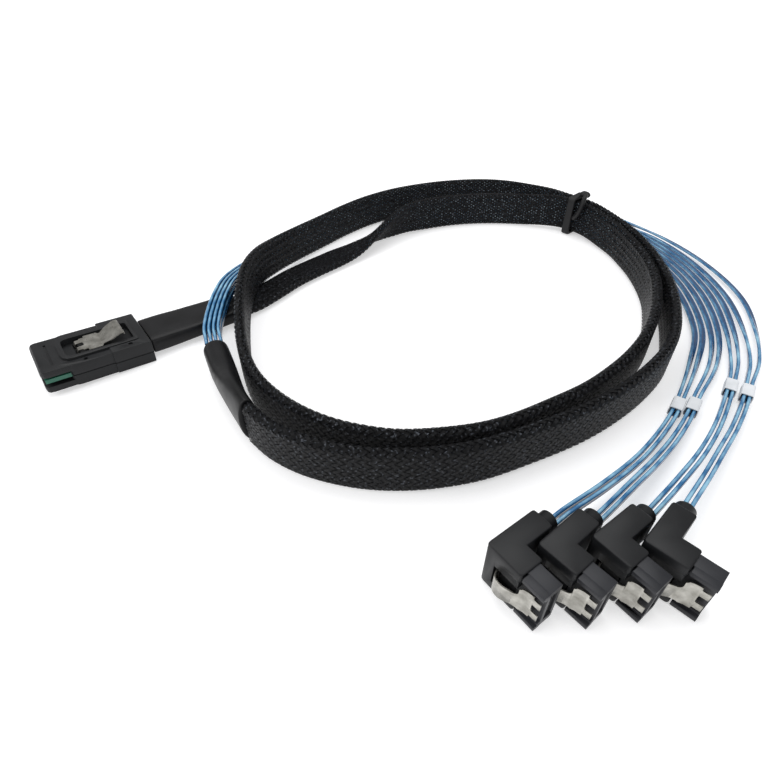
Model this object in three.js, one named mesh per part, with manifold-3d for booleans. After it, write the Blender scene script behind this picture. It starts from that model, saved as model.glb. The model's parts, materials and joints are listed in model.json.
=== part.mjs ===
// Breakout cable: one wide host plug, a flat braided cable coiled in two turns, and eight thin
// ribbon wires that fan out to four right-angle drive plugs. Millimetres, +Z up, lying on z = 0.

import * as THREE from 'three';
import { mergeVertices } from 'three/addons/utils/BufferGeometryUtils.js';
import Module from 'manifold-3d';

const wasm = await Module();
wasm.setup();

// General clearances
const GAP = 0.3;             // between pieces that touch on the real cable
const SHEET = 0.4;           // spring steel of the latches

// Host plug, along x from its nose, across y, up z
const HOST_LENGTH = 35.9;
const HOST_WIDTH = 21.4;
const HOST_HEIGHT = 8.2;
const HOST_CORNER = 2.2;     // plan radius of the nose corners
const NOSE_INSET = 0.5;      // the jaws are this much narrower on each side
const JAW_LENGTH = 8.5;
const LOWER_JAW = 2.2;
const UPPER_JAW = 2.3;
const HOOD_START = 22.5;
const HOOD_STEP = 0.5;       // the rear hood stands out by this much
const CARD_THICK = 1.0;
const CARD_WIDTH = 18.8;
const CARD_LENGTH = 19.5;
const CARD_SETBACK = 0.7;
const PARTING = 4.05;        // height of the seam between the two shells
const RIM_HEIGHT = 0.8;      // raised rim round the latch pocket
const RIM_WIDTH = 15;
const RIM_START = 7.6;
const POCKET_WIDTH = 11.6;
const POCKET_START = 9.4;
const POCKET_END = 31.6;
const POCKET_FLOOR = 6.6;
const FINGER_SLOT = { x: 4.2, width: 0.8, length: 14, depth: 0.5 };
const CORE_PIN = { x: 14.5, y: -8.9, r: 0.7, depth: 1.2 };
const DIMPLE = { x: 29.4, y: -8.9, r: 0.8, depth: 0.6 };

// Host latch
const LATCH_WIDTH = 10;
const LATCH_TIP = 13.4;
const LATCH_PLATE = 21.5;    // the flat part ends here and the arm starts to rise
const LATCH_END = 29.2;
const LATCH_LIFT = 2.9;
const LATCH_LEVEL = 8.5;
const LATCH_LEG = 1.7;

// Drive plug, x along the plugging direction, y along the cable, z across its width
const BOOT_HEIGHT = 15;
const BOOT_FRONT = 10.7;     // length of the arm that points at the drive
const BOOT_BACK = 15.7;      // length of the arm that points along the cable
const FRONT_ARM = 7;
const CABLE_ARM = 6;
const BOOT_ROUND = 0.4;
const NUB_LENGTH = 3;
const NUB_WIDTH = 5.2;
const NUB_HEIGHT = 13;
const BLOCK_REACH = 6.2;     // how far the block stands out of the boot
const BLOCK_HEIGHT = 14;
const BLOCK_THICK = 4.2;
const BLOCK_SINK = 1.6;
const BLOCK_BACK_STEP = 0.8; // the block is set back from the arm's inner face
const RAIL = 1;
const TONGUE_SLOT = { height: 10.4, width: 2.2, depth: 6.4, key: 1.3, keyWidth: 0.9 };
const CONTACTS = 7;
const CONTACT_EDGE = 0.0948; // from the wafer's end to the middle of its outer contact
const CONTACT_WIDTH = 0.6;
const CONTACT_RISE = 0.3;
const WAFER_THICK = 0.5;
const WINDOW = { start: 3.3, depth: 2.3, height: 9 };
const DRIVE_LATCH_WIDTH = 8;
const PRONG = { length: 2.2, height: 2.1, gap: 2.6 };

// Flat cable, wires and what is on them
const SLEEVE_WIDTH = 16;
const SLEEVE_THICK = 3.8;
const WIRE_WIDTH = 2.4;
const WIRE_THICK = 1.15;
const WIRE_PITCH = WIRE_THICK + 0.5;
const LAYER_PITCH = WIRE_WIDTH + 0.4;
const SHRINK_WIDTH = 18;
const SHRINK_THICK = 6.6;
const SHRINK_LENGTH = 34;
const BREAKOUT_ROUND = 9;
const BREAKOUT_MOUTH = [6.4, 17];
const LABEL_WALL = 0.3;
const LABEL_LENGTH = 6.5;
const TIE_WIDTH = 3.4;
const TIE_THICK = 1;

// Where things lie
const LAYOUT_CENTRE = [-1.68, 24.27];
const HOST_PLACE = { x: -121.1, y: 3.8, turn: 37.3, nose_up: 3 };
const DRIVE_PLACES = [
  { x: 21.9, y: -69.9, turn: -53.4 },
  { x: 33.4, y: -70.0, turn: -50.8 },
  { x: 46.2, y: -68.0, turn: -53.6 },
  { x: 57.7, y: -69.2, turn: -45.7 },
];

// The braided cable's route: out of the host plug flat, then two turns standing on its edge
const LYING = 2.6;
const STANDING = 8.15;
const SLEEVE_ROUTE = [
  [-57.5, 53.5, LYING], [-50.5, 62.5, LYING], [-43.5, 72.5, LYING], [-36, 81, LYING],
  [-27, 90, LYING], [-17.5, 99.5, LYING], [-8, 109.5, 5.2], [1, 118.3, 7.2],
  [10, 125, 8.3], [20, 130.3, STANDING], [31, 134.2, STANDING], [43, 136.6, STANDING],
  [56, 137.3, STANDING], [69, 136, 8.3], [79, 133.4, 9], [86, 130.9, 9.4],
  [90.2, 128.6, 9.5], [93, 126.1, 9.5], [95.7, 123.3, 9.5], [99.6, 117.8, 9.3],
  [104.2, 107.5, 8.6], [107, 99, 8.3], [108.3, 91, STANDING], [109.2, 78, STANDING],
  [108.6, 65, STANDING], [106.5, 52, STANDING], [103.4, 42.2, STANDING], [99.6, 32.5, STANDING],
  [94.3, 22, STANDING], [88, 12, STANDING], [80, 2.2, STANDING], [71.3, -6.3, STANDING],
  [60.3, -15.2, STANDING], [47.2, -23, STANDING], [35.4, -29.2, STANDING],
  [25.6, -32.8, STANDING], [13, -35, STANDING], [1.7, -35.5, STANDING], [-8.4, -33.7, STANDING],
  [-17, -30.8, STANDING], [-26, -25.8, STANDING], [-34.5, -18.8, STANDING],
  [-41.8, -10.2, STANDING], [-47, -0.5, STANDING], [-51.2, 11.5, 8.8], [-54.2, 25, 10.8],
  [-56.2, 39, 12.9], [-56.8, 52, 13.4], [-55.3, 66, 12.4], [-50.5, 80.5, 10.4],
  [-42.5, 95.5, 8.9], [-33, 109.5, STANDING], [-22.8, 122.5, STANDING],
  [-11.5, 134.3, STANDING], [2, 144.3, STANDING], [16.5, 151.3, STANDING],
  [31.5, 156, STANDING], [49, 158.2, STANDING], [63, 156.3, STANDING],
  [76.5, 149.8, 8.3], [86, 141.6, 9], [90.6, 135.3, 9.4], [93.4, 131.9, 9.5],
  [96.1, 129, 9.5], [98.8, 126, 9.5], [103, 119.6, 9.3], [107.9, 109, 8.6], [110.9, 99.8, 8.3],
  [112.6, 91.5, STANDING], [113.5, 78, STANDING], [113.1, 65, STANDING],
  [111.5, 52, STANDING], [108.8, 40, STANDING], [105.2, 28.7, STANDING],
  [100.3, 16.9, STANDING], [93.5, 5.6, STANDING], [83.7, -5.1, STANDING],
  [72.5, -14.7, STANDING], [58.4, -24.2, STANDING], [41.5, -32.6, STANDING],
  [26, -39, STANDING], [12.2, -42, STANDING], [1.7, -42.7, STANDING], [-8, -42, STANDING],
  [-18.1, -39.6, STANDING], [-26.6, -36.2, STANDING], [-34.8, -31, STANDING],
  [-41.5, -24.5, STANDING],
];
// Turn about its own length, in degrees from standing on edge, at fractions of the route
const SLEEVE_TURN = [[0, 90], [0.055, 90], [0.11, 0], [1, 0]];
// Share of the full width: the braid is drawn tight where it leaves the heat-shrink
const SLEEVE_SPREAD = [[0, 0.86], [0.03, 0.78], [0.07, 0.78], [0.12, 1], [1, 1]];

// The heat-shrink boot where the wires leave the braid
const BREAKOUT_ROUTE = [
  [-42.1, -23.7, 8.5], [-47, -16.2, 8.5], [-52.3, -6.6, 8.4], [-57, 3, 8.3], [-61.3, 12.2, 8.2],
];

// The eight wires together, over the host plug's cable and round behind the coil
const BUNDLE_ROUTE = [
  [-61.75, 13.2, 8.25], [-64.8, 22, 9], [-66, 33, 10.1], [-66.3, 44, 10.6], [-65.8, 54, 10.4],
  [-64.2, 64, 9], [-61, 77, 6.4], [-55.5, 91, 4.2], [-47, 106, 3.4], [-36, 122, 3.3],
  [-21, 139, 3.3], [-4, 151.5, 3.3], [14, 160, 3.3], [33, 165, 3.3], [52, 166.5, 3.3],
  [70, 163.5, 3.3], [86, 155, 3.3], [99, 144.5, 3.3],
];
// Stations of the fan: centre, outward direction and spacing of the eight wires across it
const FAN_STATIONS = [
  { at: [106.5, 138, 3.4], out: [0.65, 0.76], pitch: 1.75, outer: 0, lift: 1 },
  { at: [114, 130, 2.8], out: [0.71, 0.7], pitch: 2.4, outer: 0.3, lift: 0.4 },
  { at: [127, 111, 2.1], out: [0.86, 0.5], pitch: 3, outer: 1, lift: 0 },
  { at: [134.5, 87, 1.8], out: [0.99, 0.14], pitch: 3.1, outer: 2, lift: 0 },
  { at: [135.3, 60, 1.8], out: [0.99, -0.12], pitch: 3.2, outer: 2.8, lift: 0 },
];
// Each pair's way from the fan to its drive plug: inner and outer wire, then the pair
const PAIR_ROUTES = [
  { inner: [[118.6, 33, 1.6], [107.9, 12.6, 2]], outer: [[121.6, 33, 1.6], [110.2, 11.8, 2]],
    label: [[96.6, -6.7, 2.3], [90.4, -15.4, 2.5]],
    tail: [[81, -26.2, 3.2], [70.6, -36.6, 4.8], [57, -47.6, 6.4], [43.8, -57, 7.4]] },
  { inner: [[124.8, 33, 1.6], [115.1, 12.6, 2]], outer: [[127.8, 33, 1.6], [117.4, 11.8, 2]],
    label: [[101.8, -6.7, 2.3], [95.3, -15.9, 2.5]],
    tail: [[86, -26.8, 3.2], [76.4, -36.6, 4.8], [65.5, -46.6, 6.4], [54.9, -56.2, 7.4]] },
  { inner: [[131, 33, 1.6], [123.6, 14.5, 2]], outer: [[134, 33, 1.6], [126.1, 13.9, 2]],
    label: [[118.6, 3.2, 2.3], [112.2, -6.6, 2.5]],
    tail: [[102, -20.6, 3.4], [91, -33.3, 4.8], [79.5, -44.6, 6.4], [68.1, -55, 7.4]] },
  { inner: [[137.6, 32, 1.6], [129.8, 13, 2]], outer: [[142.4, 32.5, 1.6], [132.9, 12.6, 2]],
    label: [[122.9, 0.3, 2.3], [116.4, -9.4, 2.5]],
    tail: [[107, -21.4, 3.4], [96.6, -33, 4.8], [87.2, -43.4, 6.4], [77.9, -53.2, 7.4]] },
];
// Turn of a ribbon about its own length: on edge in the bundle, flat in the fan, on edge again
const WIRE_TURN = [[0, 0], [0.52, 0], [0.64, 80], [0.74, 80], [0.845, 0], [1, 0]];
const SLEEVE_STEPS = 80;
const WIRE_STEPS = 64;
const TIE_PLACE = { x: 94.55, y: 127.55, z: 9.5, turn: -46.5 };

// Colours and finishes
const finish = (color, roughness, metalness) =>
  new THREE.MeshStandardMaterial({ color, roughness, metalness });
const housingFinish = () => finish(0x323235, 0.55, 0);
const blockFinish = () => finish(0x44444c, 0.5, 0);
const shrinkFinish = () => finish(0x303032, 0.6, 0);
const braidFinish = () => finish(0x1c1d20, 0.7, 0);
const steelFinish = () => finish(0x96938a, 0.35, 1);
const cardFinish = () => finish(0x2c6a55, 0.4, 0);
const wireFinish = () => finish(0x3c78af, 0.3, 0);
const labelFinish = () => finish(0xd7dade, 0.5, 0);
const waferFinish = () => finish(0x1a1a1c, 0.5, 0);
const tieFinish = () => finish(0x2a2a2c, 0.8, 0);

// Joining and cutting of closed meshes
function toSolid(geometry) {
  const bare = geometry.clone();
  bare.deleteAttribute('normal');
  bare.deleteAttribute('uv');
  const merged = mergeVertices(bare, 1e-4);
  return new wasm.Manifold(new wasm.Mesh({
    numProp: 3,
    vertProperties: new Float32Array(merged.attributes.position.array),
    triVerts: new Uint32Array(merged.index.array),
  }));
}

function toGeometry(solid) {
  const mesh = solid.getMesh();
  const geometry = new THREE.BufferGeometry();
  geometry.setAttribute('position', new THREE.BufferAttribute(mesh.vertProperties, 3));
  geometry.setIndex(new THREE.BufferAttribute(mesh.triVerts, 1));
  geometry.computeVertexNormals();
  return geometry;
}

function cut(solid, ...tools) {
  return tools.reduce((left, tool) => left.subtract(tool), solid);
}

function join(...solids) {
  return solids.reduce((whole, next) => whole.add(next));
}

function block(x0, x1, y0, y1, z0, z1) {
  const geometry = new THREE.BoxGeometry(x1 - x0, y1 - y0, z1 - z0);
  return toSolid(geometry.translate((x0 + x1) / 2, (y0 + y1) / 2, (z0 + z1) / 2));
}

function pin(x, y, z0, z1, r, sides = 16) {
  const geometry = new THREE.CylinderGeometry(r, r, z1 - z0, sides).rotateX(Math.PI / 2);
  return toSolid(geometry.translate(x, y, (z0 + z1) / 2));
}

// A closed outline with a rounded corner at each point that gives a radius as its third value
function roundedShape(points, Kind = THREE.Shape) {
  const shape = new Kind();
  const corner = (i) => new THREE.Vector2(...points[(i + points.length) % points.length]);
  points.forEach(([x, y, radius = 0], i) => {
    const here = corner(i);
    const before = corner(i - 1).sub(here);
    const after = corner(i + 1).sub(here);
    const start = here.clone().addScaledVector(before.normalize(), radius);
    const end = here.clone().addScaledVector(after.normalize(), radius);
    if (i === 0) shape.moveTo(start.x, start.y);
    else shape.lineTo(start.x, start.y);
    if (radius > 0) shape.quadraticCurveTo(x, y, end.x, end.y);
  });
  shape.closePath();
  return shape;
}

// Plan outline raised from z0 to z1
function raised(shape, z0, z1, round = 0, curveSegments = 3) {
  const geometry = new THREE.ExtrudeGeometry(shape, {
    depth: z1 - z0 - 2 * round, curveSegments, bevelEnabled: round > 0,
    bevelThickness: round, bevelSize: round, bevelOffset: -round, bevelSegments: 2,
  });
  return toSolid(geometry.translate(0, 0, z0 + round));
}

// Side outline in x and z, drawn across y
function across(shape, y0, y1, curveSegments = 3) {
  const geometry = new THREE.ExtrudeGeometry(shape, {
    depth: y1 - y0, curveSegments, bevelEnabled: false,
  });
  return toSolid(geometry.rotateX(Math.PI / 2).translate(0, y1, 0));
}

// Section in y and z, drawn along x
function along(shape, x0, x1, curveSegments = 3) {
  const geometry = new THREE.ExtrudeGeometry(shape, {
    depth: x1 - x0, curveSegments, bevelEnabled: false,
  });
  geometry.rotateX(Math.PI / 2).rotateZ(Math.PI / 2);
  return toSolid(geometry.translate(x0, 0, 0));
}

// The outline of a bent strip of sheet that follows a line of points
function stripShape(points, thickness) {
  const side = (sign) => points.map(([x, y], i) => {
    const [ax, ay] = points[Math.max(i - 1, 0)];
    const [bx, by] = points[Math.min(i + 1, points.length - 1)];
    const length = Math.hypot(bx - ax, by - ay);
    const reach = sign * thickness / 2 / length;
    return [x - (by - ay) * reach, y + (bx - ax) * reach];
  });
  return roundedShape([...side(-1), ...side(1).reverse()]);
}

// Value at a fraction of the way from a short table of [fraction, value]
function readTable(table, u) {
  const next = table.findIndex(([at]) => at >= u);
  if (next <= 0) return table[0][1];
  const [u0, v0] = table[next - 1];
  const [u1, v1] = table[next];
  return THREE.MathUtils.lerp(v0, v1, THREE.MathUtils.smoothstep(u, u0, u1));
}

// A section drawn along a route. Its own x lies sideways and its own y stands up, turned and
// scaled along the way, so that a flat cable keeps its edge where it should be.
function sweep(points, section, steps, options = {}) {
  const { turn = [[0, 0], [1, 0]], spreadX, spreadY, curveSegments = 2 } = options;
  const route = new THREE.CatmullRomCurve3(
    points.map((point) => new THREE.Vector3(...point)), false, 'centripetal');
  route.arcLengthDivisions = 1200;
  route.computeFrenetFrames = (segments) => {
    const frames = { tangents: [], normals: [], binormals: [] };
    for (let i = 0; i <= segments; i++) {
      const u = i / segments;
      const tangent = route.getTangentAt(u, new THREE.Vector3());
      const sideways = new THREE.Vector3(0, 0, 1).cross(tangent).normalize();
      sideways.applyAxisAngle(tangent, THREE.MathUtils.degToRad(readTable(turn, u)));
      const upward = tangent.clone().cross(sideways);
      if (spreadX) sideways.multiplyScalar(readTable(spreadX, u));
      if (spreadY) upward.multiplyScalar(readTable(spreadY, u));
      frames.tangents.push(tangent);
      frames.normals.push(sideways);
      frames.binormals.push(upward);
    }
    return frames;
  };
  return new THREE.ExtrudeGeometry(section, {
    steps, curveSegments, extrudePath: route, bevelEnabled: false,
  });
}

// A flat section with soft corners
function flatSection(thickness, width, corner) {
  const [x, y] = [thickness / 2, width / 2];
  return roundedShape([[-x, -y, corner], [x, -y, corner], [x, y, corner], [-x, y, corner]]);
}

function ellipseSection(width, height, sides) {
  const points = [];
  for (let i = 0; i < sides; i++) {
    const angle = (i + 0.5) * 2 * Math.PI / sides;
    points.push([width / 2 * Math.cos(angle), height / 2 * Math.sin(angle)]);
  }
  return roundedShape(points);
}

function mesh(name, shape, material) {
  const geometry = shape.isBufferGeometry ? shape : toGeometry(shape);
  const piece = new THREE.Mesh(geometry, material);
  piece.name = name;
  return piece;
}

// Host plug

function hostOutline(inset, start = 0, end = HOST_LENGTH) {
  const y = HOST_WIDTH / 2 - inset;
  const corner = HOST_CORNER;
  return roundedShape([[start, -y, corner], [end, -y], [end, y], [start, y, corner]]);
}

function hoodBand(z0, z1) {
  const y = HOST_WIDTH / 2 + HOOD_STEP;
  return raised(roundedShape([
    [HOOD_START, -y, HOOD_STEP], [HOST_LENGTH, -y, HOOD_STEP],
    [HOST_LENGTH, y, HOOD_STEP], [HOOD_START, y, HOOD_STEP],
  ]), z0, z1);
}

function cardSpace() {
  const y = CARD_WIDTH / 2 + GAP;
  const z = CARD_THICK / 2 + GAP;
  return block(-1, CARD_SETBACK + CARD_LENGTH + GAP, -y, y, PARTING - z, PARTING + z);
}

function hostUpperShell() {
  const top = HOST_HEIGHT;
  const low = PARTING + GAP / 2;
  const jawLow = HOST_HEIGHT - UPPER_JAW;
  const jaw = across(roundedShape([
    [0, jawLow], [JAW_LENGTH + 1, jawLow], [JAW_LENGTH + 1, top], [0, top, 1.6],
  ]), -HOST_WIDTH / 2, HOST_WIDTH / 2).intersect(raised(hostOutline(NOSE_INSET), 0, top));
  const body = raised(hostOutline(0, JAW_LENGTH), low, top, 0);
  const crown = across(roundedShape([
    [HOOD_START, low], [HOST_LENGTH, low], [HOST_LENGTH, top + HOOD_STEP, 0.6],
    [HOOD_START, top + HOOD_STEP, 0.4],
  ]), -HOST_WIDTH / 2 - HOOD_STEP, HOST_WIDTH / 2 + HOOD_STEP)
    .intersect(hoodBand(low, top + HOOD_STEP));
  const rim = RIM_WIDTH / 2;
  const lip = raised(roundedShape([
    [RIM_START, -rim, 4], [POCKET_END + 1.2, -rim, 1], [POCKET_END + 1.2, rim, 1],
    [RIM_START, rim, 4],
  ]), top - 1, top + RIM_HEIGHT);
  const pocket = POCKET_WIDTH / 2;
  const latchSpace = raised(roundedShape([
    [POCKET_START, -pocket, 2.4], [POCKET_END, -pocket, 1], [POCKET_END, pocket, 1],
    [POCKET_START, pocket, 2.4],
  ]), POCKET_FLOOR, top + 4);
  const legs = block(LATCH_TIP - 0.7, LATCH_TIP + 0.8, -pocket + 1, pocket - 1,
    POCKET_FLOOR - LATCH_LEG, POCKET_FLOOR + 1);
  const slot = FINGER_SLOT;
  const finger = block(slot.x, slot.x + slot.width, -slot.length / 2, slot.length / 2,
    top - slot.depth, top + 1);
  const cornerPin = pin(CORE_PIN.x, CORE_PIN.y, top - CORE_PIN.depth, top + 1, CORE_PIN.r);
  const dimple = pin(DIMPLE.x, DIMPLE.y, top + HOOD_STEP - DIMPLE.depth, top + 2, DIMPLE.r);
  const shell = join(jaw, body, crown, lip);
  return cut(shell, cardSpace(), latchSpace, legs, finger, cornerPin, dimple);
}

function hostLowerShell() {
  const high = PARTING - GAP / 2;
  const jaw = across(roundedShape([
    [0, 0, 0.8], [JAW_LENGTH + 1, 0], [JAW_LENGTH + 1, LOWER_JAW], [0, LOWER_JAW, 0.3],
  ]), -HOST_WIDTH / 2, HOST_WIDTH / 2).intersect(raised(hostOutline(NOSE_INSET), 0, high));
  const body = raised(hostOutline(0, JAW_LENGTH), 0, high);
  return cut(join(jaw, body, hoodBand(0, high)), cardSpace());
}

function hostCard() {
  const y = CARD_WIDTH / 2;
  const z = CARD_THICK / 2;
  const side = roundedShape([
    [CARD_SETBACK, PARTING - z, 0.25], [CARD_SETBACK + CARD_LENGTH, PARTING - z],
    [CARD_SETBACK + CARD_LENGTH, PARTING + z], [CARD_SETBACK, PARTING + z, 0.25],
  ]);
  return across(side, -y, y);
}

// A bent steel plate: legs in the shell, two prongs, a flat part and a raised press arm
function hostLatch() {
  const level = LATCH_LEVEL;
  const strip = stripShape([
    [LATCH_TIP, POCKET_FLOOR - LATCH_LEG + GAP], [LATCH_TIP, level - 0.6],
    [LATCH_TIP + 0.3, level - 0.1], [LATCH_TIP + 1, level], [LATCH_PLATE, level],
    [LATCH_PLATE + 1, level + 0.3], [LATCH_END - 2, level + LATCH_LIFT - 0.3],
    [LATCH_END - 1, level + LATCH_LIFT], [LATCH_END - 0.3, level + LATCH_LIFT - 0.1],
    [LATCH_END, level + LATCH_LIFT - 0.7],
  ], SHEET);
  const half = LATCH_WIDTH / 2;
  const prongs = [1, -1].map((side) => [
    [LATCH_TIP + 2.6, side * 1.1, 0.5], [LATCH_TIP - 1, side * 1.1, 0.3],
    [LATCH_TIP - 1, side * 3.3, 0.3], [LATCH_TIP + 1.8, side * 3.3, 0.3],
    [LATCH_TIP + 1.8, side * 3.9, 0.3], [LATCH_TIP + 3.4, side * 3.9, 0.3],
    [LATCH_TIP + 3.4, side * half, 0.3], [LATCH_PLATE - 0.2, side * half, 0.6],
    [LATCH_PLATE + 0.4, side * (half - 1.4), 0.8], [LATCH_PLATE + 3, side * half, 1.5],
    [LATCH_END + 1, side * half, 0.4],
  ]);
  const plan = roundedShape([...prongs[0], ...prongs[1].reverse()]);
  return across(strip, -half, half).intersect(raised(plan, 0, 2 * HOST_HEIGHT));
}

function hostPlug() {
  const plug = new THREE.Group();
  plug.add(mesh('host_plug_upper_shell', hostUpperShell(), housingFinish()));
  plug.add(mesh('host_plug_lower_shell', hostLowerShell(), housingFinish()));
  plug.add(mesh('host_plug_paddle_card', hostCard(), cardFinish()));
  plug.add(mesh('host_plug_latch', hostLatch(), steelFinish()));
  const place = HOST_PLACE;
  const tilt = THREE.MathUtils.degToRad(place.nose_up);
  plug.rotation.order = 'ZYX';
  plug.rotation.set(0, tilt, THREE.MathUtils.degToRad(place.turn));
  plug.position.set(place.x, place.y, HOST_LENGTH * Math.sin(tilt));
  return plug;
}

// A point on the line that runs on from the back of the host plug
function behindHost(distance, z) {
  const angle = THREE.MathUtils.degToRad(HOST_PLACE.turn);
  const tilt = THREE.MathUtils.degToRad(HOST_PLACE.nose_up);
  const lean = (HOST_HEIGHT + HOOD_STEP) * Math.sin(tilt);
  const reach = HOST_LENGTH * Math.cos(tilt) + lean + distance;
  return [HOST_PLACE.x + reach * Math.cos(angle), HOST_PLACE.y + reach * Math.sin(angle), z];
}

// Drive plug

function bootPlan() {
  return roundedShape([
    [0, 0, 1.2], [BOOT_FRONT, 0, 0.9], [BOOT_FRONT, FRONT_ARM, 0.9],
    [CABLE_ARM, FRONT_ARM], [CABLE_ARM, BOOT_BACK, 0.9], [0, BOOT_BACK, 0.9],
  ]);
}

const BLOCK_INNER = FRONT_ARM - BLOCK_BACK_STEP;
const BLOCK_OUTER = BLOCK_INNER - BLOCK_THICK;
const BOOT_MIDDLE = BOOT_HEIGHT / 2;

function driveBoot() {
  const body = raised(bootPlan(), 0, BOOT_HEIGHT, BOOT_ROUND);
  const nubShape = new THREE.Shape();
  const r = NUB_WIDTH / 2;
  const straight = NUB_HEIGHT / 2 - r;
  nubShape.absarc(CABLE_ARM / 2, BOOT_MIDDLE + straight, r, 0, Math.PI);
  nubShape.absarc(CABLE_ARM / 2, BOOT_MIDDLE - straight, r, Math.PI, 2 * Math.PI);
  const nub = across(nubShape, BOOT_BACK - 1, BOOT_BACK + NUB_LENGTH, 8);
  const window = WINDOW.height / 2;
  const latchSpace = block(WINDOW.start, BOOT_FRONT + 1, -1, WINDOW.depth,
    BOOT_MIDDLE - window, BOOT_MIDDLE + window);
  const half = BLOCK_HEIGHT / 2 + GAP;
  const seat = block(BOOT_FRONT - BLOCK_SINK - GAP, BOOT_FRONT + 1,
    BLOCK_OUTER - RAIL - GAP, BLOCK_INNER + GAP, BOOT_MIDDLE - half, BOOT_MIDDLE + half);
  return cut(join(body, nub), latchSpace, seat);
}

function driveBlock() {
  const half = BLOCK_HEIGHT / 2;
  const low = BOOT_MIDDLE - half;
  const high = BOOT_MIDDLE + half;
  const rail = BLOCK_OUTER - RAIL;
  const section = roundedShape([
    [BLOCK_INNER, low, 0.4], [BLOCK_INNER, high, 0.4], [BLOCK_OUTER, high, 0.3],
    [BLOCK_OUTER, high - 0.9], [rail, high - 0.9, 0.3], [rail, high - 2.2, 0.3],
    [BLOCK_OUTER, high - 2.2], [BLOCK_OUTER, low + 2.2], [rail, low + 2.2, 0.3],
    [rail, low + 0.9, 0.3], [BLOCK_OUTER, low + 0.9], [BLOCK_OUTER, low, 0.3],
  ]);
  const start = BOOT_FRONT - BLOCK_SINK;
  const end = BOOT_FRONT + BLOCK_REACH;
  const slot = TONGUE_SLOT;
  const middle = (BLOCK_INNER + BLOCK_OUTER) / 2;
  const tongue = block(end - slot.depth, end + 1, middle - slot.width / 2,
    middle + slot.width / 2, BOOT_MIDDLE - slot.height / 2, BOOT_MIDDLE + slot.height / 2);
  const key = block(end - slot.depth, end + 1, middle, middle + slot.width / 2 + slot.keyWidth / 2,
    BOOT_MIDDLE - slot.height / 2, BOOT_MIDDLE - slot.height / 2 + slot.key);
  return cut(along(section, start, end), tongue, key);
}

// The insulating wafer in the slot, with its seven contacts standing up from it
function driveContacts() {
  const end = BOOT_FRONT + BLOCK_REACH;
  const middle = (BLOCK_INNER + BLOCK_OUTER) / 2;
  const back = middle + TONGUE_SLOT.width / 2 - GAP;
  const front = back - WAFER_THICK;
  const half = TONGUE_SLOT.height / 2 - TONGUE_SLOT.key - GAP;
  const start = end - TONGUE_SLOT.depth + GAP;
  const wafer = block(start, end - 0.5, front, back, BOOT_MIDDLE - half, BOOT_MIDDLE + half);
  const contacts = [];
  const pitch = 2 * (half - CONTACT_EDGE) / (CONTACTS - 1);
  for (let i = 0; i < CONTACTS; i++) {
    const z = BOOT_MIDDLE + (i - (CONTACTS - 1) / 2) * pitch;
    contacts.push(block(start + 0.4, end - 1, front - CONTACT_RISE, front + 0.1,
      z - CONTACT_WIDTH / 2, z + CONTACT_WIDTH / 2));
  }
  return join(wafer, ...contacts);
}

// Bowed steel latch: rooted in the boot's window, arched out, then flat with two prongs
function driveLatch() {
  const tip = BOOT_FRONT + BLOCK_REACH + 1;
  const root = WINDOW.start + 0.6;
  const line = new THREE.SplineCurve([
    [root, WINDOW.depth - GAP - 0.1], [root + 0.25, 0.3], [root + 1, -1.4], [root + 2.4, -2.2],
    [root + 4.6, -2.1], [root + 7.1, -1.1], [root + 9.2, 0], [root + 10.8, 0.45], [tip, 0.6],
  ].map(([x, y]) => new THREE.Vector2(x, y)));
  const points = line.getSpacedPoints(18).map((point) => [point.x, point.y]);
  const strip = stripShape(points, SHEET);
  const half = DRIVE_LATCH_WIDTH / 2;
  const shoulder = BOOT_FRONT + 1.9;
  const prongs = [1, -1].map((side) => [
    [tip - PRONG.length, side * PRONG.gap / 2, 0.4], [tip + 1, side * PRONG.gap / 2],
    [tip + 1, side * (PRONG.gap / 2 + PRONG.height)],
    [tip - PRONG.length, side * (PRONG.gap / 2 + PRONG.height), 0.3],
    [tip - PRONG.length, side * (half + 0.3), 0.3], [shoulder, side * (half + 0.3), 0.3],
    [shoulder, side * half, 0.3], [shoulder - 1.5, side * (half - 0.6), 0.5],
    [root + 4, side * half, 0.5], [root - 1, side * half],
  ]);
  const outline = roundedShape([...prongs[0], ...prongs[1].reverse()]);
  const wide = across(outline, -4, 4).translate([0, 0, BOOT_MIDDLE]);
  return raised(strip, BOOT_MIDDLE - half - 1, BOOT_MIDDLE + half + 1).intersect(wide);
}

function drivePlug(number, place) {
  const plug = new THREE.Group();
  const name = (piece) => `drive_plug_${number}_${piece}`;
  plug.add(mesh(name('boot'), driveBoot(), housingFinish()));
  plug.add(mesh(name('block'), driveBlock(), blockFinish()));
  plug.add(mesh(name('contacts'), driveContacts(), waferFinish()));
  plug.add(mesh(name('latch'), driveLatch(), steelFinish()));
  plug.rotation.z = THREE.MathUtils.degToRad(place.turn);
  plug.position.set(place.x, place.y, 0);
  return plug;
}

// Where the wires of a drive plug end, just off the round end of its boot
function nubFace(place) {
  const angle = THREE.MathUtils.degToRad(place.turn);
  const along = BOOT_BACK + NUB_LENGTH + 1.5 * GAP;
  const side = CABLE_ARM / 2;
  return [
    place.x + side * Math.cos(angle) - along * Math.sin(angle),
    place.y + side * Math.sin(angle) + along * Math.cos(angle),
    BOOT_MIDDLE,
  ];
}

// Flat cable

function braidedSleeve() {
  const start = [0, 3].map((distance) => behindHost(SHRINK_LENGTH + 2 * GAP + distance, 3.1));
  const section = ellipseFlat(SLEEVE_THICK, SLEEVE_WIDTH);
  return sweep([...start, ...SLEEVE_ROUTE], section, SLEEVE_STEPS,
    { turn: SLEEVE_TURN, spreadY: SLEEVE_SPREAD });
}

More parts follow.
